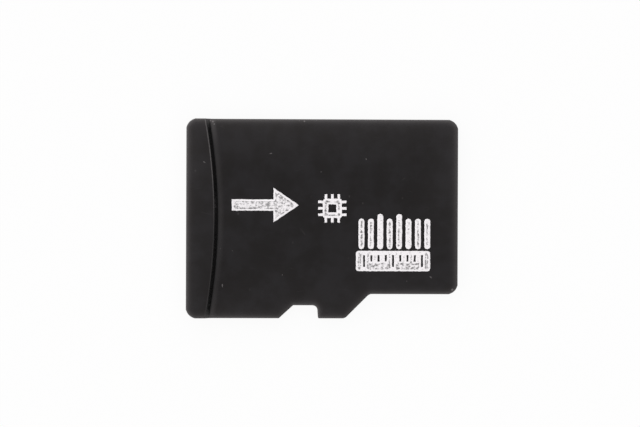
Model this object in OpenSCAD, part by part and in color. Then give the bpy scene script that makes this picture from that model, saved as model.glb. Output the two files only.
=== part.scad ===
// A removable memory card: a black body moulded on a thin laminate board, with eight gilded
// contacts below, and the dies, bond wires and chip parts that work inside it.
// +X points to the contact edge, +Y away from the latch notch and +Z out of the printed face.
// The origin is the middle of the contact side, on the surface that the card lies on.

/* [Card outline] */
// Length from the back edge to the contact edge
card_l = 15; // [14.5:0.05:16]
// Width across the back
card_w = 11; // [10.6:0.05:12]
// How far the contact end is set in on the notch side
end_inset = 1.35; // [1:0.01:1.5]
// Length of the contact end, up to the outer foot of the slope
end_l = 6.24; // [5.8:0.02:6.6]
// Angle of the slope to the long side
slope_angle = 45; // [40:1:55]
// Radius of the two bends of the slope
slope_r = 0.35; // [0.2:0.05:0.5]
// Reach of a cut corner along each of its two sides
corner_leg = 0.49; // [0.35:0.01:0.6]
// Angle at which a cut corner's arc meets a side
corner_kink = 20; // [10:1:25]

/* [Latch notch] */
// Distance from the contact edge to the notch's wall
notch_front = 7.72; // [7.4:0.01:8]
// Depth of the notch
notch_depth = 0.72; // [0.6:0.01:0.8]
// Length of the notch's floor
notch_floor = 1.33; // [1.1:0.01:1.6]
// Length of the ramp that leads into the notch
notch_ramp = 0.79; // [0.6:0.01:0.9]
// How far the notch's wall leans over its depth
notch_draft = 0.05; // [0:0.01:0.1]
// Radius between the notch's floor and wall
notch_r = 0.28; // [0.1:0.01:0.3]

/* [Thickness] */
// Thickness of the card in front of the lip
body_t = 0.7; // [0.66:0.01:0.8]
// Thickness at the lip
lip_t = 1; // [0.92:0.01:1.1]
// Width of the rounded rim round the top faces
rim_w = 0.34; // [0.2:0.01:0.4]
// Height of the rounded rim
rim_h = 0.12; // [0.06:0.01:0.16]

/* [Finger lip] */
// Width of the lip at its widest, from the back edge
lip_w = 1.54; // [1.3:0.02:2]
// Radius of the lip's curved front, seen from above
lip_r = 30; // [25:1:40]
// Run of the lip's steep face
step_run = 0.2; // [0.1:0.01:0.25]
// Radius along the top of the lip's face
crest_r = 0.04; // [0.02:0.01:0.08]
// Run of the shallow ramp at the foot of the steep face
ramp_run = 0.15; // [0.1:0.01:0.25]
// Rise of the shallow ramp
ramp_rise = 0.06; // [0.02:0.005:0.06]

/* [Contacts] */
// Distance between the middles of two contacts
contact_pitch = 1.1; // [1.05:0.01:1.15]
// Width of a contact
contact_w = 0.8; // [0.7:0.01:0.85]
// Length of a signal contact
contact_l = 2.9; // [2.7:0.05:3]
// Distance from the contact edge to a signal contact
contact_edge = 1.5; // [1.4:0.05:1.7]
// How much further the supply and ground contacts reach to the edge
contact_lead_l = 0.4; // [0.2:0.05:0.5]
// Radius of the contacts' corners
contact_r = 0.12; // [0.05:0.01:0.2]

/* [Board] */
// Thickness of the laminate
core_t = 0.1; // [0.08:0.01:0.14]
// Thickness of the solder mask over bare laminate
mask_t = 0.03; // [0.026:0.001:0.04]
// Thickness of the copper
copper_t = 0.018; // [0.012:0.001:0.02]
// Thickness of the gold plating on contacts and bond fingers
plating_t = 0.004; // [0.002:0.001:0.005]
// Width of a track
track_w = 0.07; // [0.05:0.01:0.09]
// Diameter of a via
via_d = 0.12; // [0.1:0.01:0.15]
// Width of the copper ring round a via
via_ring = 0.07; // [0.05:0.01:0.08]
// Distance from the contact edge to the vias
via_edge = 0.65; // [0.55:0.05:0.75]

/* [Dies] */
// Least distance from a die to the card's outline
die_margin = 0.5; // [0.4:0.05:0.7]
// Thickness of the memory die
memory_t = 0.15; // [0.1:0.01:0.18]
// Length of the controller die, along the card
controller_l = 2.2; // [2:0.1:2.6]
// Width of the controller die, across the card
controller_w = 3; // [2.8:0.1:3.3]
// Thickness of the controller die
controller_t = 0.12; // [0.08:0.01:0.16]
// Thickness of the film that holds a die to the board
film_t = 0.02; // [0.01:0.005:0.03]

/* [Bonding] */
// Length of a bond finger
finger_l = 0.4; // [0.3:0.02:0.44]
// Width of a bond finger
finger_w = 0.2; // [0.14:0.01:0.22]
// Distance between two bond fingers
finger_pitch = 0.36; // [0.34:0.01:0.38]
// Distance from a die's edge to its bond fingers
bond_gap = 0.4; // [0.3:0.02:0.46]
// Distance between two bond pads on the controller die
pad_pitch = 0.28; // [0.24:0.01:0.32]
// Distance between two bond pads on the memory die
memory_pad_pitch = 0.34; // [0.24:0.01:0.4]
// Distance from a die's edge to the middle of its bond pads
pad_inset = 0.12; // [0.1:0.01:0.18]
// Diameter of the bond wires
wire_d = 0.025; // [0.018:0.001:0.03]
// Height of a wire's loop over its pad
loop_h = 0.1; // [0.06:0.01:0.12]
// Distance between the controller's fingers and the memory's fingers
link_gap = 0.65; // [0.5:0.05:0.8]
// Distance from the controller's outer fingers to the vias
fan_gap = 1.25; // [1.1:0.05:1.4]

/* [Chip parts] */
// Length of a chip part
chip_l = 0.6; // [0.55:0.01:0.65]
// Width of a chip part
chip_w = 0.3; // [0.25:0.01:0.34]
// Height of a capacitor
capacitor_h = 0.3; // [0.2:0.01:0.33]
// Height of a resistor
resistor_h = 0.2; // [0.15:0.01:0.26]
// Length of the metal end of a chip part
chip_end = 0.15; // [0.1:0.01:0.18]
// Wall of the metal end
chip_wall = 0.015; // [0.01:0.005:0.02]
// Distance between the middles of two chip parts
chip_pitch = 1.3; // [1.2:0.05:1.4]
// Distance from the bond fingers' rows to the chip parts
chip_gap = 0.5; // [0.4:0.05:0.6]
// Thickness of solder under a chip part
solder_t = 0.02; // [0.01:0.005:0.03]
// Height and reach of the solder against a chip part's end
solder_fillet = 0.09; // [0.05:0.01:0.11]
// Copper left bare round a chip part's end and its solder
land_rim = 0.02; // [0.01:0.01:0.04]

/* [Print] */
// Thickness of the ink
ink_t = 0.012; // [0.008:0.001:0.02]
// Distance from the lip's front to the insertion arrow
arrow_gap = 0.96; // [0.7:0.02:1.2]
// Height of the arrow's middle over the card's middle line
arrow_y = 0.75; // [0.3:0.01:1]
// Length of the insertion arrow
arrow_l = 3.7; // [3:0.05:4]
// Width of the arrow's head
arrow_w = 1.9; // [1.4:0.1:2.2]
// Length of the arrow's head
head_l = 1.4; // [1:0.1:1.8]
// Width of the arrow's shaft
shaft_w = 0.62; // [0.4:0.02:0.8]
// Height of the chip sign's middle over the card's middle line
sign_y = 0.58; // [0.3:0.02:1]
// Side of the chip sign, without its legs
sign_side = 1.06; // [0.9:0.02:1.2]
// Side of the window in the chip sign
sign_window = 0.44; // [0.3:0.02:0.6]
// Length of the chip sign's legs
leg_l = 0.25; // [0.15:0.01:0.3]
// Width of the chip sign's legs
leg_w = 0.14; // [0.1:0.01:0.16]
// Distance from the contact edge to the comb sign and the plate
print_gap = 1.54; // [1.3:0.02:1.8]
// Distance from the card's middle line down to the comb sign's foot
comb_drop = 1.66; // [1.6:0.02:1.8]
// Width of a bar of the comb sign
bar_w = 0.32; // [0.24:0.01:0.36]
// Distance between the middles of two bars
bar_pitch = 0.52; // [0.4:0.01:0.54]
// Height of a bar of the comb sign
bar_h = 1.68; // [1:0.02:1.8]
// How much higher two of the bars are
bar_lead_h = 0.26; // [0.1:0.02:0.3]
// Distance from the comb sign's foot down to the ruled plate
plate_gap = 0.1; // [0.08:0.01:0.3]
// Length of the ruled plate
plate_l = 4.1; // [3.6:0.02:4.2]
// Height of the ruled plate
plate_h = 1.12; // [0.9:0.02:1.2]
// Distance between two of the gaps that rule the plate
rule_pitch = 0.4; // [0.3:0.01:0.42]
// Width of a gap in the plate
rule_w = 0.11; // [0.08:0.01:0.14]
// Length of a long gap in the plate
rule_long = 0.66; // [0.5:0.02:0.8]
// Length of a short gap in the plate
rule_short = 0.36; // [0.2:0.02:0.4]

/* [Hidden] */
CONTACT_COUNT = 8;
LEADING_CONTACTS = [4, 6];
SIDE_FINGERS = 8;
END_FINGERS = 3;
MEMORY_WIRES = SIDE_FINGERS + 2 * END_FINGERS;
CAPACITOR_COUNT = 4;
RESISTOR_COUNT = 2;
CHIPS_IN_ROW = 3;

function numbered(name, count, ending = "") = [for (i = [1 : count]) str(name, "_", i, ending)];

// Colours
MOULD_BLACK = [0.16, 0.15, 0.155];
MASK_BLACK = [0.08, 0.09, 0.09];
LAMINATE = [0.55, 0.47, 0.3];
GOLD = [0.86, 0.68, 0.32];
COPPER = [0.72, 0.42, 0.25];
SILICON = [0.42, 0.43, 0.48];
FILM = [0.78, 0.74, 0.6];
CERAMIC = [0.6, 0.5, 0.4];
RESISTOR_BLACK = [0.1, 0.1, 0.12];
TIN = [0.75, 0.76, 0.78];
INK_WHITE = [0.88, 0.87, 0.87];

// Levels above the surface that the card lies on
core_z = mask_t;
inner_z = core_z + core_t;
mould_z = inner_z + mask_t;
finger_z = inner_z + copper_t + plating_t;
chip_z = inner_z + copper_t + solder_t;
memory_z = mould_z + film_t;
controller_z = mould_z + film_t;

// Places along and across the card
back_x = -card_l / 2;
front_x = card_l / 2;
notch_y = -card_w / 2;
plain_y = card_w / 2;
end_y = notch_y + end_inset;
slope_x = front_x - end_l;
notch_x = front_x - notch_front;
contacts_y = (end_y + plain_y) / 2;

// The board is laid out from the contact edge backwards, and the memory die takes what is left
via_x = front_x - via_edge;
right_row_x = via_x - fan_gap - finger_l / 2;
controller_x = right_row_x - finger_l / 2 - bond_gap - controller_l / 2;
left_row_x = controller_x - controller_l / 2 - bond_gap - finger_l / 2;
memory_row_x = left_row_x - finger_l - link_gap;
memory_front_x = memory_row_x - finger_l / 2 - bond_gap;
memory_back_x = back_x + die_margin;
memory_low_y = notch_y + notch_depth + die_margin;
memory_high_y = plain_y - die_margin;
controller_y = contacts_y;
end_row_offset = controller_w / 2 + bond_gap + finger_l / 2;
memory_row_reach = (MEMORY_WIRES - 1) / 2 * finger_pitch;
chip_row_offset = memory_row_reach + chip_gap + chip_w / 2;
memory_y = (memory_low_y + memory_high_y) / 2;
memory_top = memory_z + memory_t;
controller_top = controller_z + controller_t;

// Smallest radius that a corner keeps when it is set in
SHARP_R = 0.012;
// Straight stretch between a cut corner's arc and its end, at the rim's inner border
CORNER_FLAT = 0.03;
// Steps in a corner's arc, by how much of it shows
CORNER_STEPS = 6;
BEND_STEPS = 4;
SMALL_STEPS = 2;
RIM_STEPS = 4;
ROUND_SIDES = 8;
NOTCH_EDGE_R = 0.06;
// Share of the lip's ramp that its wide curve takes up
RAMP_CURVE = 0.85;

function unit(v) = v / norm(v);
function turn(a, b) = a[0] * b[1] - a[1] * b[0];
function wrapped(list, i) = list[(i + len(list)) % len(list)];
function flat(c) = [c[0], c[1]];

// Corners are [x, y, radius, steps], anticlockwise. Each edge moves inward by d, so the radius of
// an outer corner shrinks by d, and that of an inner corner grows by it.
function set_in(corners, d) = [
    for (i = [0 : len(corners) - 1])
        let (
            b = corners[i],
            along = unit(flat(b) - flat(wrapped(corners, i - 1))),
            onward = unit(flat(wrapped(corners, i + 1)) - flat(b)),
            n = [-along[1], along[0]],
            m = [-onward[1], onward[0]],
            shift = d * (n + m) / (1 + n * m)
        )
        [b[0] + shift[0], b[1] + shift[1], max(SHARP_R, b[2] - sign(turn(along, onward)) * d), b[3]]
];

// The points of an outline whose corners are arcs
function rounded(corners) = [
    for (i = [0 : len(corners) - 1])
        let (
            b = flat(corners[i]),
            r = corners[i][2],
            u = unit(flat(wrapped(corners, i - 1)) - b),
            v = unit(flat(wrapped(corners, i + 1)) - b),
            half = acos(u * v) / 2,
            centre = b + unit(u + v) * r / sin(half),
            first = b + u * r / tan(half) - centre,
            last = b + v * r / tan(half) - centre,
            start = atan2(first[1], first[0]),
            sweep = atan2(turn(first, last), first * last)
        )
        for (k = [0 : corners[i][3]])
            let (angle = start + sweep * k / max(1, corners[i][3]))
            centre + r * [cos(angle), sin(angle)]
];

function rounded_box(l, w, r) = rounded([
    [-l / 2, -w / 2, r, SMALL_STEPS],
    [l / 2, -w / 2, r, SMALL_STEPS],
    [l / 2, w / 2, r, SMALL_STEPS],
    [-l / 2, w / 2, r, SMALL_STEPS]
]);

// A corner of the card is cut after its sides, as an arc that meets each of them at a slight angle.
// The arc stops short of its two ends, which leaves room for the rim to lie further in.
function cut_corner(x, y, from, to) =
    let (
        chord = corner_leg / (cos(corner_kink) + sin(corner_kink)),
        arc_r = (chord - CORNER_FLAT - rim_w * tan(corner_kink / 2)) / tan(45 - corner_kink),
        p = [x, y],
        first = p - from * corner_leg,
        middle = p + (to - from) * chord * sin(corner_kink),
        last = p + to * corner_leg
    )
    [
        [first[0], first[1], SHARP_R, 0],
        [middle[0], middle[1], arc_r, CORNER_STEPS],
        [last[0], last[1], SHARP_R, 0]
    ];

notch_wall_x = notch_x - notch_draft;
card_corners = concat(
    cut_corner(back_x, notch_y, [0, -1], [1, 0]),
    [
        [notch_wall_x - notch_floor - notch_ramp, notch_y, NOTCH_EDGE_R, SMALL_STEPS],
        [notch_wall_x - notch_floor, notch_y + notch_depth, NOTCH_EDGE_R, SMALL_STEPS],
        [notch_wall_x, notch_y + notch_depth, notch_r, BEND_STEPS],
        [notch_x, notch_y, NOTCH_EDGE_R, SMALL_STEPS],
        [slope_x, notch_y, slope_r, BEND_STEPS],
        [slope_x + end_inset / tan(slope_angle), end_y, slope_r, BEND_STEPS]
    ],
    cut_corner(front_x, end_y, [1, 0], [0, 1]),
    cut_corner(front_x, plain_y, [0, 1], [-1, 0]),
    cut_corner(back_x, plain_y, [-1, 0], [0, -1])
);

// Every point of the outline can be seen from here, which lets the end faces fan out from it
outline_hub = [(notch_x + slope_x) / 2, 0];

// A solid through rings of points, each ring anticlockwise seen from the last one's side
module skin(rings, first_hub, last_hub) {
    n = len(rings[0]);
    last = len(rings) - 1;
    hub = n * len(rings);
    polyhedron(
        points = concat([for (ring = rings) for (p = ring) p], [first_hub, last_hub]),
        faces = concat(
            [for (i = [0 : n - 1]) [hub, i, (i + 1) % n]],
            [for (k = [0 : last - 1]) for (i = [0 : n - 1])
                [k * n + i, (k + 1) * n + i, (k + 1) * n + (i + 1) % n, k * n + (i + 1) % n]],
            [for (i = [0 : n - 1]) [hub + 1, last * n + (i + 1) % n, last * n + i]]
        )
    );
}

// A plate of the card's outline
module card_plate(z, t) {
    translate([0, 0, z]) linear_extrude(t) polygon(rounded(card_corners));
}

// The card's outline from the mould's foot up to a top face with a rounded rim
module rimmed_block(top) {
    rim = [for (k = [0 : RIM_STEPS]) let (a = 90 * k / RIM_STEPS) [rim_w * (1 - cos(a)), top - rim_h * (1 - sin(a))]];
    levels = concat([[0, mould_z]], rim);
    rings = [for (level = levels) [for (p = rounded(set_in(card_corners, level[0]))) [p[0], p[1], level[1]]]];
    skin(rings, concat(outline_hub, mould_z), concat(outline_hub, top));
}

// The lip's curved front is the edge of a large disc. Its ramp runs out into the top face in a wide
// curve, which ends a hair below that face so that the two solids cross cleanly.
module lip_disc() {
    ramp_angle = atan(ramp_rise / ramp_run);
    ramp_r = RAMP_CURVE * ramp_run / cos(ramp_angle) / tan(ramp_angle / 2);
    ramp_foot = step_run + ramp_run;
    skirt = ramp_foot + ramp_r * tan(ramp_angle / 2) + 2 * SHARP_R;
    sink = 0.002;
    profile = rounded([
        [lip_r / 2, mould_z, SHARP_R, 1],
        [lip_r + skirt, mould_z, SHARP_R, 1],
        [lip_r + skirt, body_t - sink, SHARP_R, 1],
        [lip_r + ramp_foot, body_t - sink, ramp_r, BEND_STEPS],
        [lip_r + step_run, body_t + ramp_rise, SHARP_R, 1],
        [lip_r, lip_t, crest_r, SMALL_STEPS],
        [lip_r / 2, lip_t, SHARP_R, 1]
    ]);
    translate([back_x + lip_w - lip_r, 0, 0]) rotate([0, 0, 180]) rotate_extrude($fn = 360) polygon(profile);
}

module mould_shell() {
    rimmed_block(body_t);
    intersection() {
        rimmed_block(lip_t);
        lip_disc();
    }
}

module mould_body() {
    color(MOULD_BLACK) difference() {
        union() {
            mould_shell();
            mask_windows();
        }
        all_fingers();
        chip_lands();
        solder_joints();
        chips();
        dies();
        memory_wires();
        controller_wires();
    }
}

module laminate_core() {
    color(LAMINATE) difference() {
        card_plate(core_z, core_t);
        via_barrels();
    }
}

module under_mask() {
    color(MASK_BLACK) difference() {
        card_plate(0, mask_t);
        for (i = [1 : CONTACT_COUNT]) contact_window(i);
        under_tracks();
    }
}

module inner_mask() {
    color(MASK_BLACK) difference() {
        card_plate(inner_z, mask_t);
        mask_windows();
        inner_tracks();
    }
}

// Contacts, numbered from the plain side
function leads(i) = len(search(i, LEADING_CONTACTS)) > 0 ? contact_lead_l : 0;
function contact_y(i) = contacts_y + ((CONTACT_COUNT + 1) / 2 - i) * contact_pitch;

module contact_shape(i, z, t) {
    l = contact_l + leads(i);
    translate([front_x - contact_edge - contact_l + l / 2, contact_y(i), z])
        linear_extrude(t) polygon(rounded_box(l, contact_w, contact_r));
}

module contact(i) {
    t = copper_t + plating_t;
    color(GOLD) contact_shape(i, mask_t - t, t);
}

module contact_window(i) {
    contact_shape(i, 0, mask_t);
}

// Tracks
module track(z, points) {
    translate([0, 0, z]) linear_extrude(copper_t) union() {
        for (k = [0 : len(points) - 2]) {
            run = points[k + 1] - points[k];
            translate(points[k]) rotate(atan2(run[1], run[0])) translate([0, -track_w / 2]) square([norm(run), track_w]);
        }
        if (len(points) > 2)
            for (k = [1 : len(points) - 2]) translate(points[k]) circle(d = track_w, $fn = ROUND_SIDES);
    }
}

module via_pad(z, i) {
    translate([via_x, contact_y(i), z]) cylinder(h = copper_t, r = via_d / 2 + via_ring, $fn = ROUND_SIDES);
}

module via_barrels() {
    color(COPPER) for (i = [1 : CONTACT_COUNT])
        translate([via_x, contact_y(i), core_z]) cylinder(h = core_t, d = via_d, $fn = ROUND_SIDES);
}

module under_tracks() {
    z = mask_t - copper_t;
    color(COPPER) for (i = [1 : CONTACT_COUNT]) {
        via_pad(z, i);
        track(z, [[front_x - contact_edge + leads(i), contact_y(i)], [front_x, contact_y(i)]]);
    }
}

// Bond fingers, in rows that are counted towards +Y or +X
function in_row(k, count, pitch) = (k - (count - 1) / 2) * pitch;
function side_y(k) = controller_y + in_row(k, SIDE_FINGERS, finger_pitch);
function end_x(k) = controller_x + in_row(k, END_FINGERS, finger_pitch);
function memory_finger_y(k) = controller_y + in_row(k, MEMORY_WIRES, finger_pitch);

module finger(x, y, l, w) {
    translate([x - l / 2, y - w / 2, inner_z]) cube([l, w, copper_t + plating_t]);
}

module memory_fingers() {
    color(GOLD) for (k = [0 : MEMORY_WIRES - 1]) finger(memory_row_x, memory_finger_y(k), finger_l, finger_w);
}

module controller_fingers() {
    color(GOLD) {
        for (x = [left_row_x, right_row_x]) for (k = [0 : SIDE_FINGERS - 1])
            finger(x, side_y(k), finger_l, finger_w);
        for (side = [-1, 1]) for (k = [0 : END_FINGERS - 1])
            finger(end_x(k), controller_y + side * end_row_offset, finger_w, finger_l);
    }
}

module all_fingers() {
    memory_fingers();
    controller_fingers();
}

module window(x, y, l, w) {
    translate([x - l / 2, y - w / 2, inner_z]) cube([l, w, mask_t]);
}

module mask_windows() {
    window(memory_row_x, controller_y, finger_l, MEMORY_WIRES * finger_pitch);
    for (x = [left_row_x, right_row_x]) window(x, controller_y, finger_l, SIDE_FINGERS * finger_pitch);
    for (side = [-1, 1])
        window(controller_x, controller_y + side * end_row_offset, END_FINGERS * finger_pitch, finger_l);
    for (c = chip_places) for (side = [-1, 1])
        window(c[0] + side * land_x, c[1], land_l, land_w);
}

module inner_tracks() {
    z = inner_z;
    memory_edge = memory_row_x + finger_l / 2;
    first_linked = (MEMORY_WIRES - SIDE_FINGERS) / 2;
    color(COPPER) {
        // From the vias to the controller's outer fingers
        for (i = [1 : CONTACT_COUNT]) {
            k = CONTACT_COUNT - i;
            bend_x = right_row_x + finger_l / 2 + finger_w;
            via_pad(z, i);
            track(z, [[via_x, contact_y(i)], [bend_x, side_y(k)], [right_row_x + finger_l / 2, side_y(k)]]);
        }
        // From the controller's inner fingers to the memory's middle fingers
        for (k = [0 : SIDE_FINGERS - 1])
            track(z, [[memory_edge, memory_finger_y(k + first_linked)], [left_row_x - finger_l / 2, side_y(k)]]);
        // From the memory's outer fingers round to the controller's ends, outermost to furthest
        for (side = [-1, 1]) for (k = [0 : END_FINGERS - 1]) {
            y = memory_row_reach - (END_FINGERS - 1 - k) * finger_pitch;
            tip = end_row_offset + finger_l / 2;
            lane = tip + (k + 1) * 2 * track_w;
            bend_x = memory_edge + track_w;
            route = [[memory_edge, y], [bend_x, y], [bend_x + abs(lane - y), lane], [end_x(k), lane], [end_x(k), tip]];
            track(z, [for (p = route) [p[0], controller_y + side * p[1]]]);
        }
        chip_lands();
        // Between the chip parts of a row
        for (side = [-1, 1]) for (k = [0 : CHIPS_IN_ROW - 2]) {
            y = controller_y + side * chip_row_offset;
            track(z, [[chip_x(k) + land_x + land_l / 2, y], [chip_x(k + 1) - land_x - land_l / 2, y]]);
        }
    }
}

// Dies
module block(low, high) {
    translate(low) cube(high - low);
}

module memory_die_film() {
    color(FILM) block([memory_back_x, memory_low_y, mould_z], [memory_front_x, memory_high_y, memory_z]);
}

module memory_die() {
    color(SILICON) block([memory_back_x, memory_low_y, memory_z], [memory_front_x, memory_high_y, memory_top]);
}

module controller_block(z, t) {
    translate([controller_x - controller_l / 2, controller_y - controller_w / 2, z])
        cube([controller_l, controller_w, t]);
}

module controller_die_film() {
    color(FILM) controller_block(mould_z, film_t);
}

module controller_die() {
    color(SILICON) controller_block(controller_z, controller_t);
}

module dies() {
    block([memory_back_x, memory_low_y, mould_z], [memory_front_x, memory_high_y, memory_top]);
    controller_block(mould_z, film_t + controller_t);
}

// Bond wires
WIRE_STEPS = 3;
BALL_SIDES = 6;
// Control points of a loop: how far over its height, and how far along its run
LOOP_RISE = 1.5;
LOOP_REACH = 0.7;
ball_d = 3 * wire_d;
ball_h = wire_d;
stitch_l = 3 * wire_d;
stitch_w = 2.4 * wire_d;
stitch_h = 0.3 * wire_d;

function bezier(a, b, c, d, t) =
    a * pow(1 - t, 3) + b * 3 * t * pow(1 - t, 2) + c * 3 * t * t * (1 - t) + d * pow(t, 3);
function bezier_slope(a, b, c, d, t) =
    unit((b - a) * pow(1 - t, 2) + (c - b) * 2 * t * (1 - t) + (d - c) * t * t);

// Four corners of a wire's section, square to the slope s
function wire_ring(p, s, w, h) = [for (k = [[1, 1], [-1, 1], [-1, -1], [1, -1]])
    [p[0] - s[1] * k[1] * h / 2, k[0] * w / 2, p[1] + s[0] * k[1] * h / 2]];

// A ball on the die, a loop that rises from it, and a stitch pressed flat on the finger
module bond_wire(pad, land) {
    run = norm(flat(land) - flat(pad));
    foot = land[2] - pad[2] + wire_d / 2;
    a = [0, ball_h / 2];
    b = [0, loop_h * LOOP_RISE];
    c = [run * LOOP_REACH, foot];
    d = [run, foot];
    loop = [for (k = [0 : WIRE_STEPS]) let (t = k / WIRE_STEPS)
        wire_ring(bezier(a, b, c, d, t), bezier_slope(a, b, c, d, t), wire_d, wire_d)];
    end = [run + stitch_l, foot - (wire_d - stitch_h) / 2];
    rings = concat(loop, [wire_ring(end, [1, 0], stitch_w, stitch_h)]);
    translate(pad) rotate([0, 0, atan2(land[1] - pad[1], land[0] - pad[0])]) {
        cylinder(h = ball_h, d = ball_d, $fn = BALL_SIDES);
        skin(rings, [a[0], 0, a[1]], [end[0], 0, end[1]]);
    }
}

module memory_wires() {
    color(GOLD) for (k = [0 : MEMORY_WIRES - 1])
        bond_wire(
            [memory_front_x - pad_inset, memory_y + in_row(k, MEMORY_WIRES, memory_pad_pitch), memory_top],
            [memory_row_x, memory_finger_y(k), finger_z]
        );
}

module controller_wires() {
    color(GOLD) for (side = [-1, 1]) {
        for (k = [0 : SIDE_FINGERS - 1])
            bond_wire(
                [
                    controller_x + side * (controller_l / 2 - pad_inset),
                    controller_y + in_row(k, SIDE_FINGERS, pad_pitch),
                    controller_top
                ],
                [side < 0 ? left_row_x : right_row_x, side_y(k), finger_z]
            );
        for (k = [0 : END_FINGERS - 1])
            bond_wire(
                [
                    controller_x + in_row(k, END_FINGERS, pad_pitch),
                    controller_y + side * (controller_w / 2 - pad_inset),
                    controller_top
                ],
                [end_x(k), controller_y + side * end_row_offset, finger_z]
            );
    }
}

// Chip parts stand in two rows of three. The last one of each row is a resistor.
function chip_x(k) = controller_x + in_row(k, CHIPS_IN_ROW, chip_pitch);
chip_places = [for (side = [-1, 1]) for (k = [0 : CHIPS_IN_ROW - 1])
    [chip_x(k), controller_y + side * chip_row_offset, k < CHIPS_IN_ROW - 1 ? capacitor_h : resistor_h]];
capacitors = [for (c = chip_places) if (c[2] == capacitor_h) c];
resistors = [for (c = chip_places) if (c[2] != capacitor_h) c];
land_l = chip_end + solder_fillet + 2 * land_rim;
land_w = chip_w + 2 * land_rim;
land_x = chip_l / 2 - chip_end - land_rim + land_l / 2;

module chip_core(c, length, width, height, z) {
    translate([c[0] - length / 2, c[1] - width / 2, z]) cube([length, width, height]);
}

module chip_body(c) {
    chip_core(c, chip_l - 2 * chip_wall, chip_w - 2 * chip_wall, c[2] - 2 * chip_wall, chip_z + chip_wall);
}

module chip_ends(c) {
    difference() {
        chip_core(c, chip_l, chip_w, c[2], chip_z);
        chip_core(c, chip_l - 2 * chip_end, chip_w * 2, c[2] * 3, chip_z - c[2]);
        chip_body(c);
    }
}

module chips() {
    for (c = chip_places) {
        chip_body(c);
        chip_ends(c);
    }
}

module chip_lands() {
    for (c = chip_places) for (side = [-1, 1])
        translate([c[0] + side * land_x - land_l / 2, c[1] - land_w / 2, inner_z]) cube([land_l, land_w, copper_t]);
}

// Solder lies under each metal end and climbs its outer face
module solder_joints() {
    inner = chip_l / 2 - chip_end;
    outer = chip_l / 2;
    color(TIN) for (c = chip_places) for (side = [0, 1])
        translate([c[0], c[1] + chip_w / 2, inner_z + copper_t]) mirror([side, 0, 0]) rotate([90, 0, 0])
            linear_extrude(chip_w) polygon([
                [inner, 0],
                [outer + solder_fillet, 0],
                [outer, solder_t + solder_fillet],
                [outer, solder_t],
                [inner, solder_t]
            ]);
}

// Print: an insertion arrow, a chip sign, a comb of bars and a ruled plate
SIGN_LEGS = 3;
RULE_COUNT = 9;
RULES_PER_LONG = 4;
PRINT_R = 0.14;
// How far the chip sign stands along the gap between the arrow and the comb
SIGN_SHARE = 0.56;
comb_l = (CONTACT_COUNT - 1) * bar_pitch + bar_w;
comb_x = front_x - print_gap - comb_l / 2;
comb_y = bar_h / 2 - comb_drop;
plate_x = front_x - print_gap - plate_l / 2;
plate_y = -comb_drop - plate_gap - plate_h / 2;
arrow_x = back_x + lip_w + arrow_gap + arrow_l / 2;
sign_x = (arrow_x + arrow_l / 2) * (1 - SIGN_SHARE) + (comb_x - comb_l / 2) * SIGN_SHARE;

module inked(x, y) {
    color(INK_WHITE) translate([x, y, body_t]) linear_extrude(ink_t) children();
}

module ink_arrow() {
    neck = arrow_l / 2 - head_l;
    inked(arrow_x, arrow_y) {
        translate([-arrow_l / 2, -shaft_w / 2]) square([arrow_l - head_l, shaft_w]);
        polygon([[neck, -arrow_w / 2], [arrow_l / 2, 0], [neck, arrow_w / 2]]);
    }
}

module ink_chip_sign() {
    inked(sign_x, sign_y) {
        difference() {
            polygon(rounded_box(sign_side, sign_side, PRINT_R));
            square(sign_window, center = true);
        }
        for (side = [0 : 3]) rotate(90 * side) for (k = [0 : SIGN_LEGS - 1])
            translate([sign_side / 2, in_row(k, SIGN_LEGS, sign_side / SIGN_LEGS) - leg_w / 2]) square([leg_l, leg_w]);
    }
}

// The comb sign repeats the contact row, with its two longer contacts
module ink_comb_sign() {
    inked(comb_x, comb_y) for (i = [1 : CONTACT_COUNT]) {
        h = bar_h + (leads(i) > 0 ? bar_lead_h : 0);
        translate([in_row(CONTACT_COUNT - i, CONTACT_COUNT, bar_pitch), (h - bar_h) / 2])
            polygon(rounded_box(bar_w, h, PRINT_R));
    }
}

module ink_ruled_plate() {
    inked(plate_x, plate_y) difference() {
        polygon(rounded_box(plate_l, plate_h, PRINT_R));
        for (k = [0 : RULE_COUNT - 1]) {
            l = k % RULES_PER_LONG == 0 ? rule_long : rule_short;
            translate([in_row(k, RULE_COUNT, rule_pitch) - rule_w / 2, rule_long / 2 - l]) square([rule_w, l]);
        }
    }
}

mould_body();
laminate_core();
under_mask();
inner_mask();
under_tracks();
inner_tracks();
via_barrels();
memory_die();
memory_die_film();
controller_die();
controller_die_film();
memory_fingers();
controller_fingers();
memory_wires();
controller_wires();
for (i = [1 : CONTACT_COUNT])
    contact(i);
for (i = [1 : CAPACITOR_COUNT]) {
    color(CERAMIC) chip_body(capacitors[i - 1]);
    color(TIN) chip_ends(capacitors[i - 1]);
}
for (i = [1 : RESISTOR_COUNT]) {
    color(RESISTOR_BLACK) chip_body(resistors[i - 1]);
    color(TIN) chip_ends(resistors[i - 1]);
}
solder_joints();
ink_arrow();
ink_chip_sign();
ink_comb_sign();
ink_ruled_plate();
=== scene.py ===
import math
import random

import bpy
import numpy as np
from bpy.props import FloatProperty, FloatVectorProperty, IntProperty, PointerProperty
from mathutils import Matrix, Vector, noise
from mathutils.geometry import delaunay_2d_cdt


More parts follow.
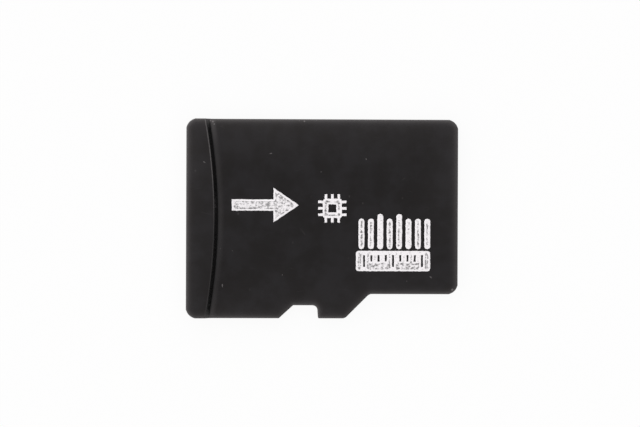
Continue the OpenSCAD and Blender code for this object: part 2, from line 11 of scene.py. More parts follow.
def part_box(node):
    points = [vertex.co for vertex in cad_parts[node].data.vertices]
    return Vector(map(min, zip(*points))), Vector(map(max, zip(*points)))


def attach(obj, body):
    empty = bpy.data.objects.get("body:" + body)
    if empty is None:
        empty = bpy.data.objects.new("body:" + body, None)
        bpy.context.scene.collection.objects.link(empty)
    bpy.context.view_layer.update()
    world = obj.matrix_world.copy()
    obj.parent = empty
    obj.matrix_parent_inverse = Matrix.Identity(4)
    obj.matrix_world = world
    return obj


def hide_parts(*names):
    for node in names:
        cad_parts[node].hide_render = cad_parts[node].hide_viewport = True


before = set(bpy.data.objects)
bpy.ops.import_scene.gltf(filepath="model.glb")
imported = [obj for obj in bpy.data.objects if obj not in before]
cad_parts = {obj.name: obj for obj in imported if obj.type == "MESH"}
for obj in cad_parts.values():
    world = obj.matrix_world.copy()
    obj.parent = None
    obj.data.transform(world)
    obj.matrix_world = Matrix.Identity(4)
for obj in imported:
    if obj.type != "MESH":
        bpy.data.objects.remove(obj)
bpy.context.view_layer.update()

bl_info = {
    "name": "Memory card",
    "version": (1, 0, 0),
    "blender": (4, 5, 0),
    "location": "View3D > Sidebar > Memory card",
    "description": "Builds a removable memory card and the white table that it lies on",
    "category": "Object",
}

# Lengths are in metres, in the frame's own axes: +X towards the contact edge, +Z out of the print
MM = 0.001
BODY = "root"
SEED = 11

# The back edge and the levels, as the frame has them
BACK_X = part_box("mould_body")[0].x
LIP_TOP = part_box("mould_body")[1].z
MOULD_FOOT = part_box("inner_mask")[1].z
PRINT_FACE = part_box("ink_arrow")[0].z
INK_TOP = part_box("ink_arrow")[1].z
UNDER_MASK_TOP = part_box("under_mask")[1].z

PRINT_NODES = ("ink_arrow", "ink_chip_sign", "ink_comb_sign", "ink_ruled_plate")
CONTACT_NODES = [f"contact_{i}" for i in range(1, 9)]
TRACK_NODES = ("under_tracks", "inner_tracks", "via_barrels")
DIE_NODES = ("memory_die", "controller_die")
FILM_NODES = [f"{node}_film" for node in DIE_NODES]
FINGER_NODES = ("memory_fingers", "controller_fingers")
WIRE_NODES = ("memory_wires", "controller_wires")
CAPACITOR_NODES = [f"capacitor_{i}" for i in range(1, 5)]
RESISTOR_NODES = [f"resistor_{i}" for i in range(1, 3)]
CHIP_END_NODES = [f"{node}_ends" for node in (*CAPACITOR_NODES, *RESISTOR_NODES)]


class MouldSizes(bpy.types.PropertyGroup):
    """Form of the moulded body's upper side"""

    rim_width: FloatProperty(
        name="Rim width", description="Reach of the rounded rim over the top face",
        default=0.36 * MM, unit="LENGTH",
    )
    rim_height: FloatProperty(
        name="Rim height", description="Height of the rounded rim", default=0.125 * MM, unit="LENGTH",
    )
    lip_width: FloatProperty(
        name="Lip width", description="Widest reach of the finger lip from the back edge",
        default=1.54 * MM, unit="LENGTH",
    )
    lip_radius: FloatProperty(
        name="Lip radius", description="Radius of the lip's curved front, seen from above",
        default=30 * MM, unit="LENGTH",
    )
    step_run: FloatProperty(
        name="Step run", description="Run of the lip's steep face", default=0.2 * MM, unit="LENGTH",
    )
    crest_radius: FloatProperty(
        name="Crest radius", description="Radius along the top of the steep face",
        default=0.04 * MM, unit="LENGTH",
    )
    ramp_run: FloatProperty(
        name="Ramp run", description="Run of the hollow ramp at the foot of the steep face",
        default=0.3 * MM, unit="LENGTH",
    )
    ramp_rise: FloatProperty(
        name="Ramp rise", description="Rise of the hollow ramp", default=0.065 * MM, unit="LENGTH",
    )
    waviness: FloatProperty(
        name="Waviness", description="Height of the faint waves that moulding leaves",
        default=0.0016 * MM, unit="LENGTH",
    )
    rim_steps: IntProperty(
        name="Rim steps", description="Rows of faces across the rounded rim", default=9, min=3, max=16,
    )


class PrintSizes(bpy.types.PropertyGroup):
    """Form of the printed marks"""

    wander: FloatProperty(
        name="Edge wander", description="How far a mark's edge strays", default=0.018 * MM, unit="LENGTH",
    )
    wander_length: FloatProperty(
        name="Wander length", description="Length of one stray of the edge", default=0.16 * MM, unit="LENGTH",
    )
    bead: FloatProperty(
        name="Edge bead", description="Width of the thicker ink along a mark's edge",
        default=0.085 * MM, unit="LENGTH",
    )


def colour(name, description, value):
    """A colour that a user can change"""
    return FloatVectorProperty(
        name=name, description=description, subtype="COLOR", min=0, max=1, default=value,
    )


class FinishColours(bpy.types.PropertyGroup):
    """Colours of the card's materials, in linear light"""

    mould: colour("Mould", "Black moulding compound", (0.0066, 0.0054, 0.006))
    # The dust colour is also the colour of the mould's painted highlights and painted light
    dust: colour("Dust", "Pale dust and scuffs", (0.3, 0.28, 0.28))
    ink: colour("Ink", "White printing ink", (0.72, 0.7, 0.71))
    mask: colour("Solder mask", "Black solder mask", (0.012, 0.013, 0.013))
    laminate: colour("Laminate", "Cut glass laminate", (0.16, 0.115, 0.055))
    gold: colour("Gold", "Soft gold plating", (0.84, 0.6, 0.25))
    copper: colour("Copper", "Bare copper", (0.72, 0.36, 0.22))
    silicon: colour("Silicon", "Polished silicon", (0.17, 0.17, 0.21))
    film: colour("Die film", "Adhesive film under a die", (0.5, 0.44, 0.3))
    ceramic: colour("Ceramic", "Brown capacitor ceramic", (0.34, 0.22, 0.14))
    glaze: colour("Glaze", "Black resistor glaze", (0.02, 0.02, 0.025))
    tin: colour("Tin", "Matt tin and solder", (0.64, 0.64, 0.66))


class StageSizes(bpy.types.PropertyGroup):
    """Table, light and camera"""

    table_side: FloatProperty(
        name="Table side", description="Side of the white table", default=0.6, unit="LENGTH",
    )
    zenith: FloatProperty(
        name="Zenith", description="Brightness of the light straight above", default=0.44, min=0,
    )
    horizon: FloatProperty(
        name="Horizon", description="Brightness of the light all round, low down", default=2.35, min=0,
    )
    camera_distance: FloatProperty(
        name="Camera distance", description="From the camera to the print", default=0.09, unit="LENGTH",
    )
    camera_tilt: FloatProperty(
        name="Camera tilt", description="Lean of the camera towards the back edge",
        default=math.radians(1.2), subtype="ANGLE",
    )
    camera_roll: FloatProperty(
        name="Camera roll", description="Turn of the camera about its own axis",
        default=math.radians(0.2), subtype="ANGLE",
    )
    picture_scale: FloatProperty(
        name="Picture scale", description="Width of the view at the print", default=35.31 * MM, unit="LENGTH",
    )
    aim_x: FloatProperty(
        name="Aim X", description="Where the view's middle lies", default=-0.134 * MM, unit="LENGTH",
    )
    aim_y: FloatProperty(
        name="Aim Y", description="Where the view's middle lies", default=0.293 * MM, unit="LENGTH",
    )


# Shader building

class Socket:
    """An output of a node. Expressions written with it add Math nodes."""

    def __init__(self, finish, socket):
        self.finish = finish
        self.socket = socket

    def math(self, operation, a, b=0.0, clamp=False):
        """One Math node on two numbers"""
        return self.finish.node("ShaderNodeMath", {"operation": operation, "use_clamp": clamp}, {0: a, 1: b})

    def __add__(self, other):
        return self.math("ADD", self, other)

    __radd__ = __add__

    def __sub__(self, other):
        return self.math("SUBTRACT", self, other)

    def __rsub__(self, other):
        return self.math("SUBTRACT", other, self)

    def __mul__(self, other):
        return self.math("MULTIPLY", self, other)

    __rmul__ = __mul__

    def __pow__(self, other):
        return self.math("POWER", self, other)

    def __rpow__(self, other):
        return self.math("POWER", other, self)

    def most(self, other):
        """The larger of the two"""
        return self.math("MAXIMUM", self, other)

    def held(self):
        """The value kept between 0 and 1"""
        return self.math("ADD", self, 0.0, clamp=True)


class Finish:
    """Builds the node tree of one material or of the world"""

    def __init__(self, tree):
        self.tree = tree
        tree.nodes.clear()

    def node(self, kind, settings=None, values=None, output=0):
        """Adds a node, its settings first, then the values or links of its sockets"""
        made = self.tree.nodes.new(kind)
        for name, value in (settings or {}).items():
            setattr(made, name, value)
        for key, value in (values or {}).items():
            if isinstance(value, Socket):
                self.tree.links.new(value.socket, made.inputs[key])
            else:
                made.inputs[key].default_value = value
        return Socket(self, made.outputs[output])

    def output(self, part, key):
        """Another output of a part's node"""
        return Socket(self, part.socket.node.outputs[key])

    def place(self, stretch=(1, 1, 1)):
        """The point on the object in millimetres, stretched along the axes"""
        scale = [s / MM for s in stretch]
        point = self.node("ShaderNodeTexCoord", output="Object")
        return self.node("ShaderNodeVectorMath", {"operation": "MULTIPLY"}, {0: point, 1: scale})

    def axis(self, name):
        """One coordinate of the point on the object, in millimetres"""
        return self.node("ShaderNodeSeparateXYZ", values={0: self.place()}, output=name)

    def stored(self, name):
        """A number stored on the mesh's points"""
        return self.node("ShaderNodeAttribute", {"attribute_name": name}, output="Fac")

    def noise(self, scale, detail=2.0, stretch=(1, 1, 1), rough=0.5):
        """Noise from 0 to 1, with so many spots to a millimetre"""
        values = {"Vector": self.place(stretch), "Scale": scale, "Detail": detail, "Roughness": rough}
        return self.node("ShaderNodeTexNoise", values=values)

    def cells(self, scale, feature="F1", stretch=(1, 1, 1)):
        """Distances in Voronoi cells, with so many cells to a millimetre"""
        values = {"Vector": self.place(stretch), "Scale": scale}
        return self.node("ShaderNodeTexVoronoi", {"feature": feature}, values, "Distance")

    def bands(self, direction, scale, distortion, detail_scale):
        """Wavy bands across one axis"""
        settings = {"bands_direction": direction, "wave_profile": "SIN"}
        values = {
            "Vector": self.place(), "Scale": scale, "Distortion": distortion,
            "Detail": 2.0, "Detail Scale": detail_scale,
        }
        return self.node("ShaderNodeTexWave", settings, values)

    def ramp(self, value, low, high, start=0.0, end=1.0):
        """A smooth rise from start to end while value goes from low to high"""
        settings = {"interpolation_type": "SMOOTHSTEP"}
        values = {"Value": value, "From Min": low, "From Max": high, "To Min": start, "To Max": end}
        return self.node("ShaderNodeMapRange", settings, values)

    def blend(self, share, first, second):
        """A mix of two colours, whose sockets are numbers 6 and 7 of the Mix node"""
        values = {0: share, 6: self.full(first), 7: self.full(second)}
        return self.node("ShaderNodeMix", {"data_type": "RGBA"}, values, output=2)

    def full(self, colour):
        """A colour with its alpha, or the socket as it is"""
        if isinstance(colour, Socket):
            return colour
        return (*tuple(colour)[:3], 1.0)

    def bump(self, height, distance):
        """A normal from a height that is 0 to 1 over a distance"""
        values = {"Height": height, "Distance": distance, "Strength": 1.0}
        return self.node("ShaderNodeBump", values=values)

    def surface(self, **sockets):
        """A Principled surface that goes to the output"""
        values = {name.replace("_", " "): value for name, value in sockets.items()}
        if "Base Color" in values:
            values["Base Color"] = self.full(values["Base Color"])
        self.finish_with(self.node("ShaderNodeBsdfPrincipled", values=values))

    def finish_with(self, shader, kind="ShaderNodeOutputMaterial"):
        """Links a shader to the output of the material or of the world"""
        end = self.tree.nodes.new(kind)
        self.tree.links.new(shader.socket, end.inputs["Surface"])


def material(name):
    """An empty material and what builds its nodes"""
    made = bpy.data.materials.new(name)
    made.use_nodes = True
    return made, Finish(made.node_tree)


def dress(nodes, made):
    """Gives a material to CAD nodes, which keep their place and form"""
    for name in nodes:
        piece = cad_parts[name]
        piece.data.materials.clear()
        piece.data.materials.append(made)


# Finishes

# Chipped places of the mould: X, Y and radius in millimetres
CHIPS_MM = (
    (-6.46, 5.4, 0.05), (-6.32, 5.34, 0.06), (-6.18, 5.4, 0.05), (-6.05, 5.36, 0.06), (-5.99, 5.2, 0.05),
    (-6.06, 4.03, 0.05), (-6.33, -5.36, 0.07),
    (-1.02, 5.4, 0.08), (-1.3, 5.43, 0.06), (7.2, -3.9, 0.08),
)
# The mould's black drifts between these two, as factors of its red, green and blue
BROWN_TINT = (0.5, 0.36, 0.34)
GREY_TINT = (1.22, 1.26, 1.34)


def tinted(colour, factors):
    """A colour with each channel multiplied, up to full white"""
    return [min(1, channel * factor) for channel, factor in zip(colour, factors)]


def shaded(colour, factor):
    """A colour made darker or lighter"""
    return tinted(colour, (factor, factor, factor))


def scratched(look):
    """Fine scratches: the borders of long thin cells, broken up by noise"""
    hairs = look.ramp(look.cells(0.5, "DISTANCE_TO_EDGE", (0.35, 2.2, 1)), 0.0, 0.012, 1, 0)
    return hairs * look.ramp(look.noise(1.3, detail=1, stretch=(1, 1.6, 1)), 0.6, 0.72)


def flecked(look, pebble):
    """Small pale flecks, drawn out a little, strong in some cells and absent in others"""
    cells = look.cells(1.3, stretch=(1, 0.7, 0))
    chance = look.node("ShaderNodeSeparateColor", values={0: look.output(cells, "Color")})
    return look.ramp(cells + pebble * 0.1, 0.06, 0.14, 1, 0) * look.ramp(chance, 0.5, 0.95)


def chipped(look, pebble):
    """Chips with ragged borders"""
    chips = 0.0
    for x, y, reach in CHIPS_MM:
        centre = (x, y, PRINT_FACE / MM)
        apart = look.node(
            "ShaderNodeVectorMath", {"operation": "DISTANCE"}, {0: look.place(), 1: centre}, "Value",
        )
        chips = look.ramp(apart + pebble * 0.12 - 0.06, reach * 0.5, reach, 1, 0) + chips
    return chips.held()


def mould_finish(colours):
    """Black epoxy, satin from the mould, with flecks, scratches and chips, a pale haze mottled at random, and
    painted light: paler rims and sides, painted highlights on the lip's crest and foot, and painted shade on
    the step's steep face
    """
    made, look = material("moulding_compound")
    edge = look.stored("from_edge")
    past = look.stored("past_lip")
    along, across, height = (look.axis(name) for name in "XYZ")
    cloud = look.noise(0.5, detail=3)
    blotch = look.noise(0.9, detail=5, rough=0.55)
    grain = look.noise(26, detail=2)
    pebble = look.noise(9, detail=3, rough=0.6)
    scratches = scratched(look)
    flecks = flecked(look, pebble)
    chips = chipped(look, pebble)
    # The step's steep face is kept glossier and clear of the pale marks, and painted dark towards black as
    # painted shade
    step_face_shade = look.ramp(past, -0.01, 0.04) * look.ramp(past, 0.2, 0.28, 1, 0) * look.ramp(edge, 0.08, 0.4)
    # A pale haze mottled at random, with painted light: paler towards the rims, fading inwards, strongest
    # along the plain long side and a little towards the back edge
    mottle_and_side_light = 0.23 + cloud * 0.7 + across * 0.1 + across * across * 0.024 - along * 0.03
    haze_and_edge_light = (look.ramp(edge, 0.2, 3.4, 1, 0) + 0.04 ** edge) * mottle_and_side_light
    # Painted highlight: the rim's top is paler and a little rougher, most of all at the contact edge
    rim_highlight = 0.0003 ** edge * (0.5 + pebble)
    rim_highlight = rim_highlight * look.ramp(height, 0.35, 0.6) * look.ramp(along, 6.5, 7.4, 1, 1.8)
    # Painted highlights: a pale line along the lip's crest, stronger towards +Y, and a pale band down the
    # hollow ramp at its foot, near the long sides most of all
    crest = look.ramp(past, -0.05, -0.01) * look.ramp(past, 0.0, 0.04, 1, 0)
    crest = crest * look.ramp(across, -1, 3.5, 0.3, 1.4)
    foot = look.ramp(past, 0.2, 0.32) * look.ramp(past, 0.36, 0.6, 1, 0)
    foot = foot * (0.65 + cloud * 0.8 + look.ramp(across * across, 14, 28) * (1.6 + across * 0.2))
    # The cut side below the moulded rim is rougher, with streaks along the cut
    side = look.ramp(height, 0.2, 0.5, 1, 0)
    streaks = look.noise(7, detail=3, stretch=(1, 1, 9))
    # Real wear (scratches, flecks, chips) with the haze's painted light and the rim's painted highlight
    wear_and_painted_light = haze_and_edge_light * 0.017 + rim_highlight * 0.16 + scratches * 0.04 + flecks * 0.09 + chips * (0.15 + grain * 0.5)
    # The painted highlights along the lip's crest and its foot
    step_highlights = crest * (0.08 + pebble * 0.3) + foot * 0.036
    on_top = look.ramp(edge, 0.02, 0.12)
    # The pale share: the wear and painted light, kept off the steep face, and the lip's painted highlights on
    # the top face
    pale = (wear_and_painted_light * (1 - step_face_shade) + on_top * step_highlights).held()
    drift = look.ramp(blotch, 0.34, 0.68)
    tone = look.blend(drift, tinted(colours.mould, BROWN_TINT), tinted(colours.mould, GREY_TINT))
    # Painted shade: the steep face's colour darkened towards black
    tone = look.blend(step_face_shade * 0.8, tone, (0, 0, 0))
    rough = 0.3 + pebble * 0.08 + cloud * 0.08 + side * 0.16 + rim_highlight * 0.08 + chips * 0.3 - step_face_shade * 0.1
    relief = grain * 0.4 + pebble * 0.6 + side * streaks * 1.6 - scratches * 0.4 - chips * 8
    look.surface(
        Base_Color=look.blend(pale, tone, colours.dust),
        Roughness=rough.held(),
        Normal=look.bump(relief, 0.0011 * MM),
        IOR=1.4,
    )
    return made


def ink_finish(colours):
    """White ink laid in fine rows, whitest along its edges, with a thin groove inside them and pinholes"""
    made, look = material("ink")
    edge = look.stored("from_edge")
    bead = look.ramp(edge, 0.6, 1.4, 1, 0)
    groove = look.ramp(edge, 1.2, 1.5) * look.ramp(edge, 1.7, 2.2, 1, 0)
    broad = look.noise(3, detail=2)
    grains = look.noise(8, detail=3, rough=0.6)
    fine = look.noise(24, detail=3, rough=0.6)
    rows = look.bands("Y", 3.4, distortion=0.6, detail_scale=3.0)
    holes = look.ramp(look.cells(5.5, stretch=(0.7, 1.25, 1)) + fine * 0.16, 0.16, 0.3, 1, 0)
    holes = (holes * look.ramp(broad, 0.5, 0.6) * (1 - bead)).held()
    # Thick ink is white, and the mould greys it where it is thin
    thick = look.ramp(grains + rows * 0.08 + broad * 0.2 + bead * 0.18 - groove * 0.1, 0.41, 0.71)
    tone = look.blend(thick, shaded(colours.ink, 0.24), shaded(colours.ink, 1.4))
    look.surface(
        Base_Color=look.blend(holes * 0.85, tone, colours.mould),
        Roughness=(0.5 + fine * 0.2).held(),
        Normal=look.bump(fine * 0.5 + rows * 0.5 - holes, 0.002 * MM),
        IOR=1.45,
    )
    return made


def mask_finish(colours):
    """Black solder mask, glossy and slightly orange-peeled, with fine rubbing from sockets"""
    made, look = material("solder_mask")
    peel = look.noise(4.5, detail=2)
    fine = look.noise(30, detail=2)
    rubs = look.ramp(look.noise(5, detail=4, stretch=(0.12, 3, 1)), 0.55, 0.75)
    look.surface(
        Base_Color=look.blend(rubs * 0.14, colours.mask, colours.dust),
        Roughness=(0.24 + fine * 0.08 + rubs * 0.2).held(),
        Normal=look.bump(peel + fine * 0.15 - rubs * 0.2, 0.0014 * MM),
    )
    return made


def laminate_finish(colours):
    """Glass laminate: on its cut edge the glass layers show as paler bands with cut yarn ends"""
    made, look = material("laminate")
    plies = look.bands("Z", 9.0, distortion=1.2, detail_scale=0.8)
    yarns = look.noise(9, detail=3, stretch=(1, 1, 3))
    glass = (plies * 0.7 + yarns * 0.5).held()
    look.surface(
        Base_Color=look.blend(glass, shaded(colours.laminate, 0.55), shaded(colours.laminate, 1.7)),
        Roughness=(0.5 + yarns * 0.25).held(),
        Normal=look.bump(glass, 0.003 * MM),
    )
    return made


# Gold worn thin, where a little of the nickel below shows
WORN_GOLD = (0.62, 0.55, 0.42)


def gold_finish(colours, name="gilding", scratch=1.0):
    """Soft gold over nickel, with scratches along the card where a socket's springs have run"""
    made, look = material(name)
    fine = look.noise(34, detail=3)
    runs = look.ramp(look.noise(16, detail=3, stretch=(0.05, 1, 1)), 0.5, 0.72) * scratch
    tarnish = look.noise(1.6, detail=3)
    tone = look.blend(tarnish, shaded(colours.gold, 0.9), colours.gold)
    look.surface(
        Base_Color=look.blend(runs * 0.3, tone, WORN_GOLD),
        Metallic=1.0,
        Roughness=(0.2 + fine * 0.12 + runs * 0.14).held(),
        Normal=look.bump(fine * 0.5 - runs * 0.6, 0.0012 * MM),
    )
    return made


def metal_finish(name, colour, rough, grain, depth):
    """A plain metal with grains of a given size, darker between them"""
    made, look = material(name)
    grains = look.cells(grain)
    fine = look.noise(grain * 2.5, detail=3)
    look.surface(
        Base_Color=look.blend((grains * 1.2).held(), colour, shaded(colour, 0.72)),
        Metallic=1.0,
        Roughness=(rough + fine * 0.14).held(),
        Normal=look.bump(fine * 0.6 + grains * 0.4, depth),
    )
    return made


def silicon_finish(colours):
    """Silicon with the faint blocks of a chip's layout and ground sides"""
    made, look = material("silicon")
    blocks = look.node(
        "ShaderNodeTexBrick",
        {"offset": 0.0, "squash": 1.0},
        {
            "Vector": look.place(), "Scale": 1.0,
            "Mortar Size": 0.012, "Brick Width": 1.9, "Row Height": 0.62,
            "Color1": look.full(colours.silicon),
            "Color2": look.full(shaded(colours.silicon, 0.7)),
            "Mortar": look.full(shaded(colours.silicon, 1.5)),
        },
    )
    lines = look.noise(30, detail=1, stretch=(0.2, 3, 1))
    look.surface(
        Base_Color=look.blend(lines * 0.3, blocks, shaded(colours.silicon, 0.8)),
        Roughness=(0.14 + lines * 0.12).held(),
        Normal=look.bump(lines, 0.0006 * MM),
        IOR=2.2,
    )
    return made


def dull_finish(name, colour, rough, grain, depth):
    """A dull solid such as ceramic, glaze or film, mottled at a given size"""
    made, look = material(name)
    mottle = look.noise(grain, detail=4, rough=0.6)
    look.surface(
        Base_Color=look.blend(mottle, shaded(colour, 0.75), shaded(colour, 1.2)),
        Roughness=(rough + mottle * 0.15).held(),
        Normal=look.bump(mottle, depth),
    )
    return made


# Plan drawing: borders of the frame's flat faces, and sheets meshed between them

# How far the corners of a flat face may lie off its level
LEVEL_SLACK = 0.0002 * MM
# A point of an inset line is sound if it lies this share of the inset inside the borders
SOUND_SHARE = 0.97
# Points closer than this many millimetres are one point
MERGED_MM = 1e-5
# Triangles of less than half this area, in square metres, are left out
THIN_AREA = 1e-14
# Sides that meet at more than this keep a crisp edge
CRISP_ANGLE = math.radians(38)


def borders(node, level):
    """Closed borders of a node's flat face at a level, anticlockwise outside and clockwise round holes"""
    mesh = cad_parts[node].data
    mesh.calc_loop_triangles()
    corners = np.array([v.co for v in mesh.vertices])
    keys = [tuple(k) for k in np.round(corners[:, :2] / MM, 5)]
    sides = {}
    for triangle in mesh.loop_triangles:
        ring = list(triangle.vertices)
        if max(abs(corners[i][2] - level) for i in ring) > LEVEL_SLACK:
            continue
        a, b, c = (corners[i][:2] for i in ring)
        if (b - a)[0] * (c - a)[1] - (b - a)[1] * (c - a)[0] < 0:
            ring.reverse()
        for i, j in zip(ring, ring[1:] + ring[:1]):
            sides[keys[i], keys[j]] = True
    following = {i: j for i, j in sides if (j, i) not in sides}
    found = []
    while following:
        start = next(iter(following))
        loop, here = [], start
        while here in following:
            loop.append(here)
            here = following.pop(here)
        found.append(np.array(loop) * MM)
    return found


def area(loop):
    """Area inside a loop, positive if it runs anticlockwise"""
    onward = np.roll(loop, -1, 0)
    return float(np.sum(loop[:, 0] * onward[:, 1] - loop[:, 1] * onward[:, 0])) / 2


def outer(loops):
    """The border round a whole face"""
    return max(loops, key=area)


def depth(points, loops):
    """How far inside the borders each point lies, negative outside them"""
    nearest = np.full(len(points), np.inf)
    inside = np.zeros(len(points), bool)
    x, y = points[:, 0], points[:, 1]
    for loop in loops:
        for a, b in zip(loop, np.roll(loop, -1, 0)):
            side = b - a
            share = np.clip((points - a) @ side / (side @ side), 0, 1)
            nearest = np.minimum(nearest, np.linalg.norm(points - a - share[:, None] * side, axis=1))
            if a[1] != b[1]:
                crossed = (a[1] > y) != (b[1] > y)
                inside ^= crossed & (x < a[0] + (y - a[1]) * side[0] / side[1])
    return np.where(inside, nearest, -nearest)


def dense(loop, spacing):
    """The loop with more points along its straight stretches"""
    points = []
    for a, b in zip(loop, np.roll(loop, -1, 0)):
        count = max(1, math.ceil(np.linalg.norm(b - a) / spacing))
        points += [a + (b - a) * k / count for k in range(count)]
    return np.array(points)


def outward(loop):
    """Unit vectors that point out of the face, one at each point of its border"""
    along = np.roll(loop, -1, 0) - np.roll(loop, 1, 0)
    across = np.stack([along[:, 1], -along[:, 0]], 1)
    return across / np.linalg.norm(across, axis=1)[:, None]


def inset(loop, reach, loops):
    """Lines that run inside a border at a distance, left out where they would fold over each other"""
    moved = loop - outward(loop) * reach
    sound = depth(moved, loops) > reach * SOUND_SHARE
    lines, line = [], []
    for point, good in zip([*moved, moved[0]], [*sound, sound[0]]):
        if good:
            line.append(point)
        elif line:
            lines.append(np.array(line))
            line = []
    if line:
        lines.append(np.array(line))
    return [line for line in lines if len(line) > 1]


def closed(loop):
    """The loop with its first point again at its end"""
    return np.vstack([loop, loop[:1]])


def grid(loops, spacing, margin):
    """Single points spread evenly inside the borders, clear of them by a margin"""
    low, high = np.vstack(loops).min(0), np.vstack(loops).max(0)
    x, y = np.meshgrid(*(np.arange(low[k] + spacing / 2, high[k], spacing) for k in (0, 1)))
    points = np.stack([x.ravel(), y.ravel()], 1)
    return list(points[depth(points, loops) > margin][:, None])


def plan_mesh(lines, loops):
    """Points and triangles in plan that use every line and fill the borders"""
    points, edges = [], []
    for line in lines:
        edges += [(len(points) + k, len(points) + k + 1) for k in range(len(line) - 1)]
        points += [Vector((float(x) / MM, float(y) / MM)) for x, y in line]
    result = delaunay_2d_cdt(points, edges, [], 0, MERGED_MM)
    flat = np.array([tuple(p) for p in result[0]]) * MM
    triangles = np.array([tuple(t) for t in result[2]])
    a, b, c = (flat[triangles[:, k]] for k in range(3))
    turns = (b - a)[:, 0] * (c - a)[:, 1] - (b - a)[:, 1] * (c - a)[:, 0]
    triangles[turns < 0] = triangles[turns < 0][:, ::-1]
    sound = (np.abs(turns) > THIN_AREA) & (depth((a + b + c) / 3, loops) > 0)
    return flat, triangles[sound]


def new_piece(name, corners, faces):
    """An object in the scene from its corners and faces"""
    mesh = bpy.data.meshes.new(name)
    mesh.from_pydata(corners, [], faces)
    piece = bpy.data.objects.new(name, mesh)
    bpy.context.scene.collection.objects.link(piece)
    return piece


def level_side(height):
    """The height function of a flat side"""
    return lambda points: np.full(len(points), height)


def solid(name, flat, triangles, upper, lower, wall_rows=1):
    """A closed solid over a plan, between an upper and a lower height, with its walls in rows of faces"""
    used = np.unique(triangles)
    number = {int(old): new for new, old in enumerate(used)}
    flat = flat[used]
    triangles = [[number[int(i)] for i in t] for t in triangles]
    count = len(flat)
    top, base = upper(flat), lower(flat)
    sides = {(t[k], t[(k + 1) % 3]) for t in triangles for k in range(3)}
    rim = [(i, j) for i, j in sides if (j, i) not in sides]
    corners = [(*p, z) for p, z in zip(flat, top)] + [(*p, z) for p, z in zip(flat, base)]
    faces = [tuple(t) for t in triangles] + [tuple(count + i for i in reversed(t)) for t in triangles]
    on_rim = sorted({i for side in rim for i in side})
    rows = [{i: i for i in on_rim}]
    for row in range(1, wall_rows):
        share = row / wall_rows
        rows.append({i: len(corners) + k for k, i in enumerate(on_rim)})
        corners += [(*flat[i], top[i] * (1 - share) + base[i] * share) for i in on_rim]
    rows.append({i: count + i for i in on_rim})
    for high, low in zip(rows, rows[1:]):
        faces += [(high[i], low[i], low[j], high[j]) for i, j in rim]
    piece = new_piece(name, [tuple(map(float, c)) for c in corners], faces)
    piece.data.validate()
    piece.data.polygons.foreach_set("use_smooth", [True] * len(piece.data.polygons))
    piece.data.set_sharp_from_angle(angle=CRISP_ANGLE)
    return piece


def seated(piece, made, slot, *replaced):
    """Gives a new piece its material and its body, and hides the CAD nodes that it replaces"""
    piece.data.materials.append(made)
    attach(piece, BODY)
    if replaced:
        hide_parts(*replaced)


def plan_of(piece):
    """Each point of a piece, seen from above"""
    return np.array([v.co[:2] for v in piece.data.vertices])


def store(piece, name, values):
    """Keeps a number at each point of a piece, for its material to read"""
    attribute = piece.data.attributes.new(name, "FLOAT", "POINT")
    attribute.data.foreach_set("value", values)


def store_depth(piece, loops, unit):
    """Keeps how far inside the borders each point lies, in a unit"""
    store(piece, "from_edge", np.maximum(depth(plan_of(piece), loops), 0) / unit)


def waves(points, size, seed=0.0):
    """Smooth noise from -1 to 1 at each point"""
    return np.array([noise.noise(Vector((x / size, y / size, seed))) for x, y in points])


# Moulded body

# Rows of faces round the lip's crest and down the hollow ramp
CREST_ROWS = 6
RAMP_ROWS = 8
# Lengths of the top face's faint waves, and the short ones' height as a share of the long ones'
LONG_WAVE = 2.6 * MM
SHORT_WAVE = 0.9 * MM
SHORT_WAVE_SHARE = 0.3
OUTLINE_SPACING = 0.11 * MM
FIELD_SPACING = 0.3 * MM
# The field's points keep clear of the rounded rim, at this many times its width
FIELD_MARGIN = 1.3
WALL_ROWS = 4
STEP_LINE_POINTS = 81
# The step's lines end this far inside the outline
STEP_LINE_MARGIN = 0.02 * MM


def lip_profile(sizes):
    """Distances past the lip's front and the heights there: round crest, steep face, hollow ramp"""
    slope = math.atan2(LIP_TOP - PRINT_FACE - sizes.ramp_rise, sizes.step_run)
    crest = sizes.crest_radius * math.tan(slope / 2)
    distances, heights = [], []
    for k in range(CREST_ROWS + 1):
        angle = slope * k / CREST_ROWS
        distances.append(-crest + sizes.crest_radius * math.sin(angle))
        heights.append(LIP_TOP - sizes.crest_radius * (1 - math.cos(angle)))
    for k in range(RAMP_ROWS + 1):
        share = k / RAMP_ROWS
        distances.append(sizes.step_run + sizes.ramp_run * share)
        heights.append(PRINT_FACE + sizes.ramp_rise * (1 - share) ** 2)
    return np.array(distances), np.array(heights)


